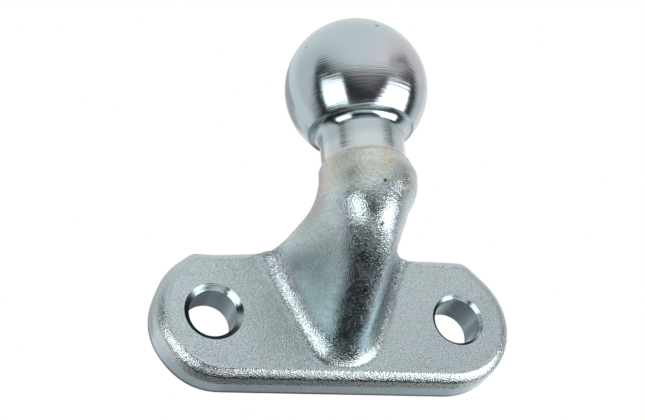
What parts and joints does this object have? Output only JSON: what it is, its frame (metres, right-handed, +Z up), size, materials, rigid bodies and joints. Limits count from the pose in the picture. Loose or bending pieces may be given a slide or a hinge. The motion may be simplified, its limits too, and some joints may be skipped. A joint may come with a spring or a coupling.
{
  "type": "flange-mounted swan-neck tow ball",
  "caption": "Forged, zinc-plated steel tow ball on a swan neck, with a flange for two bolts to a towing bracket.",
  "frame": {"origin": "on the flange's mounting face, midway between the two bolt holes", "axes": "+Z up along the ball's axis, +Y out of the mounting face into the towing bracket, +X along the line of the bolt holes"},
  "size_m": [0.131, 0.0805, 0.1175],
  "materials": {
    "forging": "zinc-plated forged steel, shot-blasted, with a turned ball and neck"
  },
  "bodies": {
    "root": {"tow_ball": "forging"}
  },
  "joints": []
}
